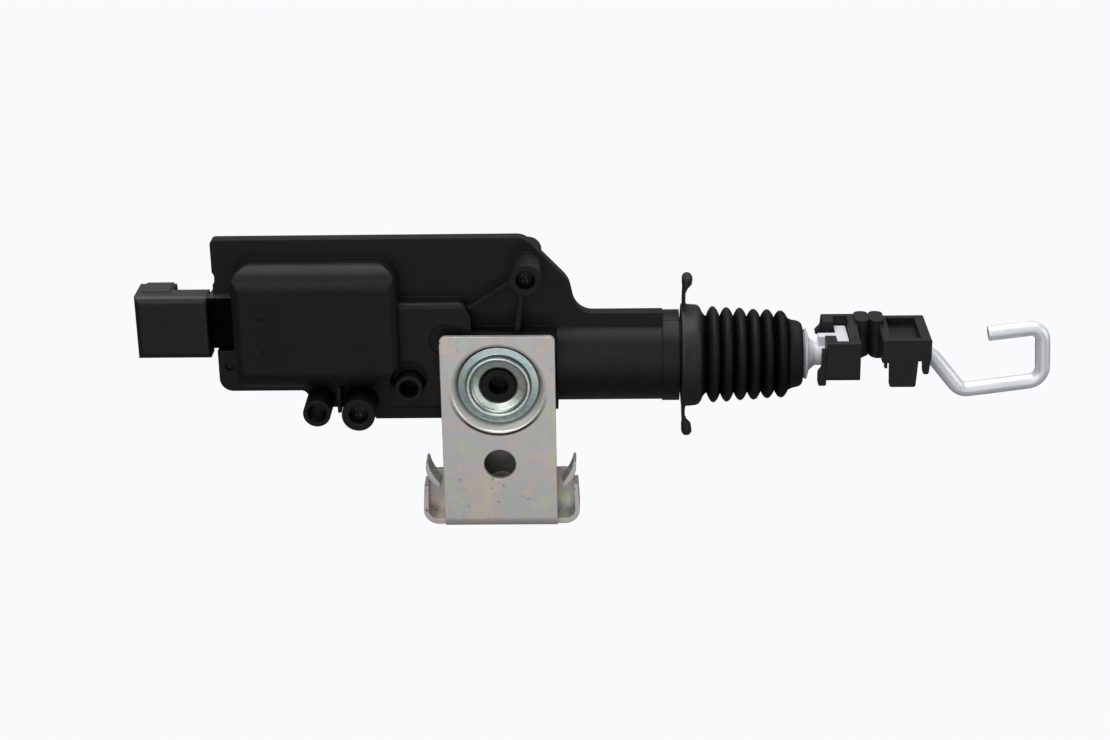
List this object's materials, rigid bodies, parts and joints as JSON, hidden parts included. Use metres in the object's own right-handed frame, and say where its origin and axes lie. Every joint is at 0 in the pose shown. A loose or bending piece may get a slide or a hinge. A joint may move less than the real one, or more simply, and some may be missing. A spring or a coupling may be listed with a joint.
{
  "type": "door latch actuator",
  "caption": "Electric linear actuator for a vehicle door latch, with a boxed motor case, sheet steel bracket, bellows boot, rod clip and bent wire hook.",
  "frame": {"origin": "centre of the bracket's lower fixing hole, on the front face of the sheet", "axes": "+X along the rod towards the hook, +Y from the bracket's front face into the part, +Z from the fixing hole towards the eyelet"},
  "size_m": [0.204, 0.0255, 0.0667],
  "materials": {
    "black_plastic": "moulded black nylon, fine satin grain",
    "nylon_white": "natural white nylon, smooth",
    "rubber_black": "moulded black rubber, satin",
    "zinc_steel": "zinc plated pressed sheet",
    "zinc_wire": "zinc plated drawn wire",
    "screw_steel": "dark plated screw",
    "motor_steel": "drawn steel",
    "ferrite": "sintered ferrite",
    "copper": "bare copper",
    "brass": "cut brass",
    "tinned_brass": "tinned brass blade"
  },
  "bodies": {
    "housing": {"front_cover": "black_plastic", "rear_housing": "black_plastic", "case_screws": "screw_steel", "connector_body": "black_plastic", "connector_blades": "tinned_brass", "bracket": "zinc_steel", "bracket_eyelet": "zinc_steel", "motor_can": "motor_steel", "motor_end_bell": "nylon_white", "motor_magnets": "ferrite", "motor_brushes": "copper", "crown_gear_axle": "motor_steel", "output_gear_axle": "motor_steel", "rod_guide_bush": "nylon_white", "extend_bumper": "rubber_black", "retract_bumper": "rubber_black", "bellows_boot": "rubber_black"},
    "rotor": {"motor_shaft": "motor_steel", "rotor_core": "motor_steel", "rotor_windings": "copper", "commutator": "copper", "motor_pinion": "brass"},
    "first_gear": {"crown_gear": "nylon_white"},
    "second_gear": {"output_gear": "nylon_white"},
    "rod": {"plunger": "nylon_white", "rod_clip": "black_plastic"},
    "hook": {"hook_wire": "zinc_wire"}
  },
  "joints": [
    {"name": "rotor_spin", "type": "hinge", "parent": "housing", "child": "rotor", "pos_m": [-0.04, 0.0121, 0.032], "axis": [1, 0, 0], "range_deg": [-609, 934]},
    {"name": "first_gear_spin", "type": "hinge", "parent": "housing", "child": "first_gear", "pos_m": [-0.0113, 0.016, 0.032], "axis": [0, 1, 0], "range_deg": [-180, 275]},
    {"name": "second_gear_spin", "type": "hinge", "parent": "housing", "child": "second_gear", "pos_m": [0.002, 0.016, 0.02649], "axis": [0, 1, 0], "range_deg": [-138, 90]},
    {"name": "rod_slide", "type": "slide", "parent": "housing", "child": "rod", "axis": [1, 0, 0], "range_m": [-0.0075, 0.0115], "deforming": ["bellows_boot"]},
    {"name": "hook_swing", "type": "hinge", "parent": "rod", "child": "hook", "pos_m": [0.0908, 0.013, 0.0209], "axis": [0, 0, 1], "range_deg": [-25, 25]}
  ],
  "couplings": [
    {"joint": "rotor_spin", "follows": "rod_slide", "rad_per_m": 1416.7},
    {"joint": "first_gear_spin", "follows": "rod_slide", "rad_per_m": 416.67},
    {"joint": "second_gear_spin", "follows": "rod_slide", "rad_per_m": -208.33}
  ]
}
